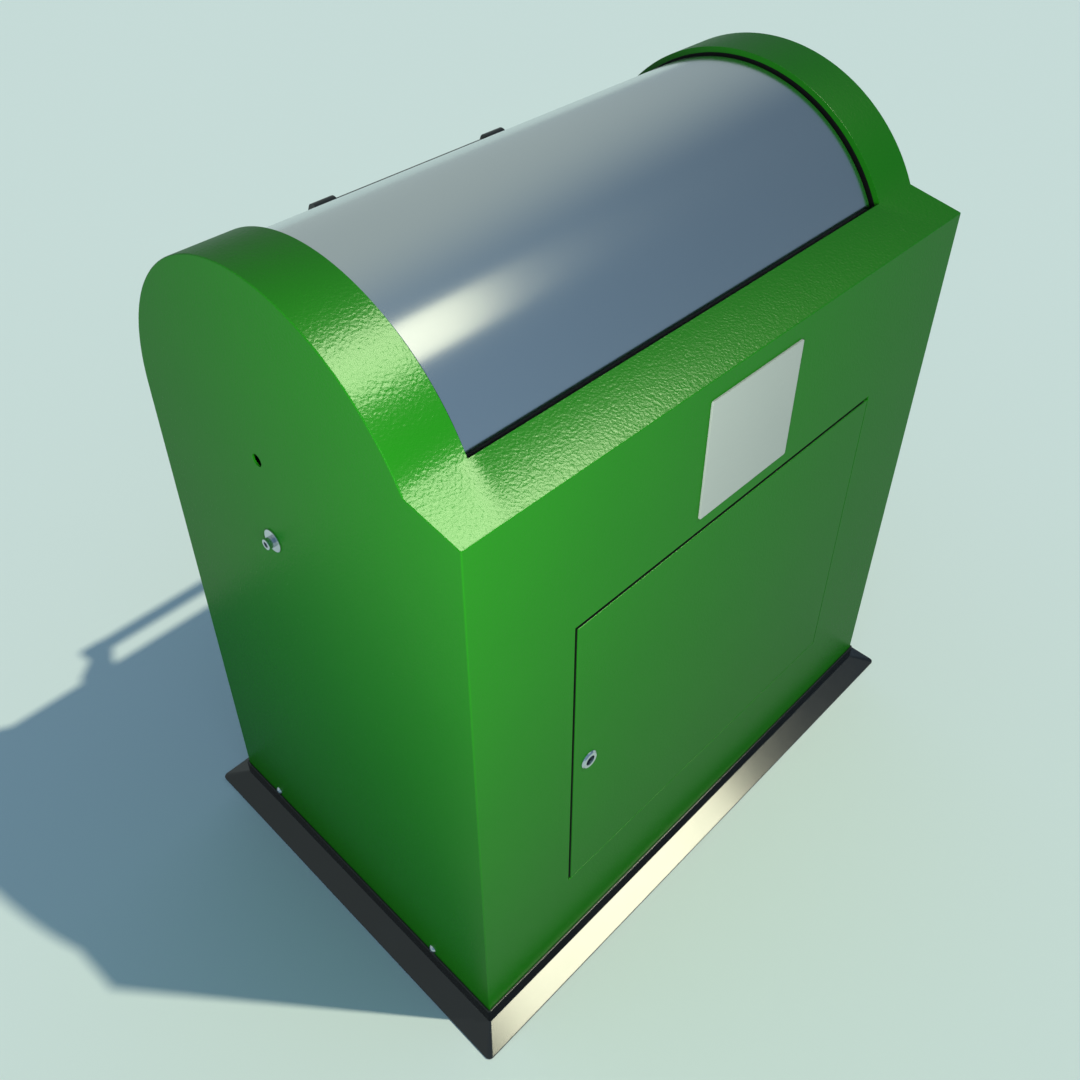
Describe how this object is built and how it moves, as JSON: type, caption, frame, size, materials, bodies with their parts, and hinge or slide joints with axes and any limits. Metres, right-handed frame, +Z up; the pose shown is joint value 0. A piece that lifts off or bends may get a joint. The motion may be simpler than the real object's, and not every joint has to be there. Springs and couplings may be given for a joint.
{
  "type": "waste container inlet column",
  "caption": "Free-standing inlet column of a large waste container: green steel housing with a hinged, locked service door and a stainless drum that turns by its handle to take in refuse.",
  "frame": {"origin": "on the floor, at the centre of the base skirt", "axes": "+Z up, +Y towards the side that people throw refuse in from, +X along the drum; the locked service door faces -Y"},
  "size_m": [1.078, 0.712, 1.184],
  "materials": {
    "green_powder_coat": "green powder coat with a fine hammered texture, satin to gloss",
    "black_gloss_coat": "smooth black gloss coat",
    "stainless_steel": "satin stainless sheet",
    "zinc_plated_steel": "bright zinc-plated steel",
    "galvanised_steel": "dull galvanised steel, inside the column",
    "cast_iron": "plain grey iron",
    "black_rubber": "matt black rubber",
    "bronze": "plain bearing bronze",
    "black_plastic": "black moulded plastic with a soft sheen",
    "anodised_aluminium": "light grey anodised sheet, blank"
  },
  "bodies": {
    "column": {"base_frame": "galvanised_steel", "base_skirt": "black_gloss_coat", "base_screws": "zinc_plated_steel", "left_side_panel": "green_powder_coat", "right_side_panel": "green_powder_coat", "front_cover": "green_powder_coat", "rear_panel": "green_powder_coat", "left_arch_band": "green_powder_coat", "right_arch_band": "green_powder_coat", "left_cheek_plate": "green_powder_coat", "right_cheek_plate": "green_powder_coat", "left_drum_seal": "black_rubber", "right_drum_seal": "black_rubber", "ledge_seal": "black_rubber", "sill_trim": "black_rubber", "info_plate": "anodised_aluminium", "left_bearing_housing": "galvanised_steel", "right_bearing_housing": "galvanised_steel", "left_bearing_bush": "bronze", "right_bearing_bush": "bronze", "bearing_bolts": "zinc_plated_steel", "bearing_nuts": "zinc_plated_steel", "stop_bolts": "zinc_plated_steel", "stop_washers": "zinc_plated_steel", "stop_nuts": "zinc_plated_steel", "stop_buffers": "black_rubber", "door_frame": "green_powder_coat", "door_gasket": "black_rubber", "door_bushes": "bronze"},
    "drum": {"drum_shell": "stainless_steel", "left_drum_disc": "stainless_steel", "right_drum_disc": "stainless_steel", "left_stub_shaft": "zinc_plated_steel", "right_stub_shaft": "zinc_plated_steel", "hub_bolts": "zinc_plated_steel", "hub_nuts": "zinc_plated_steel", "drum_edge_bar": "galvanised_steel", "left_counterweight": "cast_iron", "right_counterweight": "cast_iron", "counterweight_bolts": "zinc_plated_steel", "counterweight_nuts": "zinc_plated_steel", "handle_bar": "black_plastic", "left_handle_bracket": "black_plastic", "right_handle_bracket": "black_plastic", "handle_screws": "zinc_plated_steel", "left_stop_lever": "galvanised_steel", "right_stop_lever": "galvanised_steel", "lever_set_screws": "zinc_plated_steel", "shaft_end_washers": "zinc_plated_steel", "shaft_end_bolts": "zinc_plated_steel"},
    "door": {"door_panel": "green_powder_coat", "door_stiffeners": "galvanised_steel", "door_pins": "zinc_plated_steel", "lock_body": "zinc_plated_steel", "lock_nut": "zinc_plated_steel"},
    "lock": {"lock_spindle": "zinc_plated_steel", "lock_cam": "zinc_plated_steel", "cam_screw": "zinc_plated_steel"}
  },
  "joints": [
    {"name": "drum_turn", "type": "hinge", "parent": "column", "child": "drum", "pos_m": [0, 0.028, 0.895], "axis": [1, 0, 0], "range_deg": [0, 100]},
    {"name": "door_swing", "type": "hinge", "parent": "column", "child": "door", "pos_m": [0.2632, -0.309, 0.478], "axis": [0, 0, 1], "range_deg": [0, 110]},
    {"name": "lock_turn", "type": "hinge", "parent": "door", "child": "lock", "pos_m": [-0.294, -0.29, 0.468], "axis": [0, 1, 0], "range_deg": [0, 90]}
  ]
}
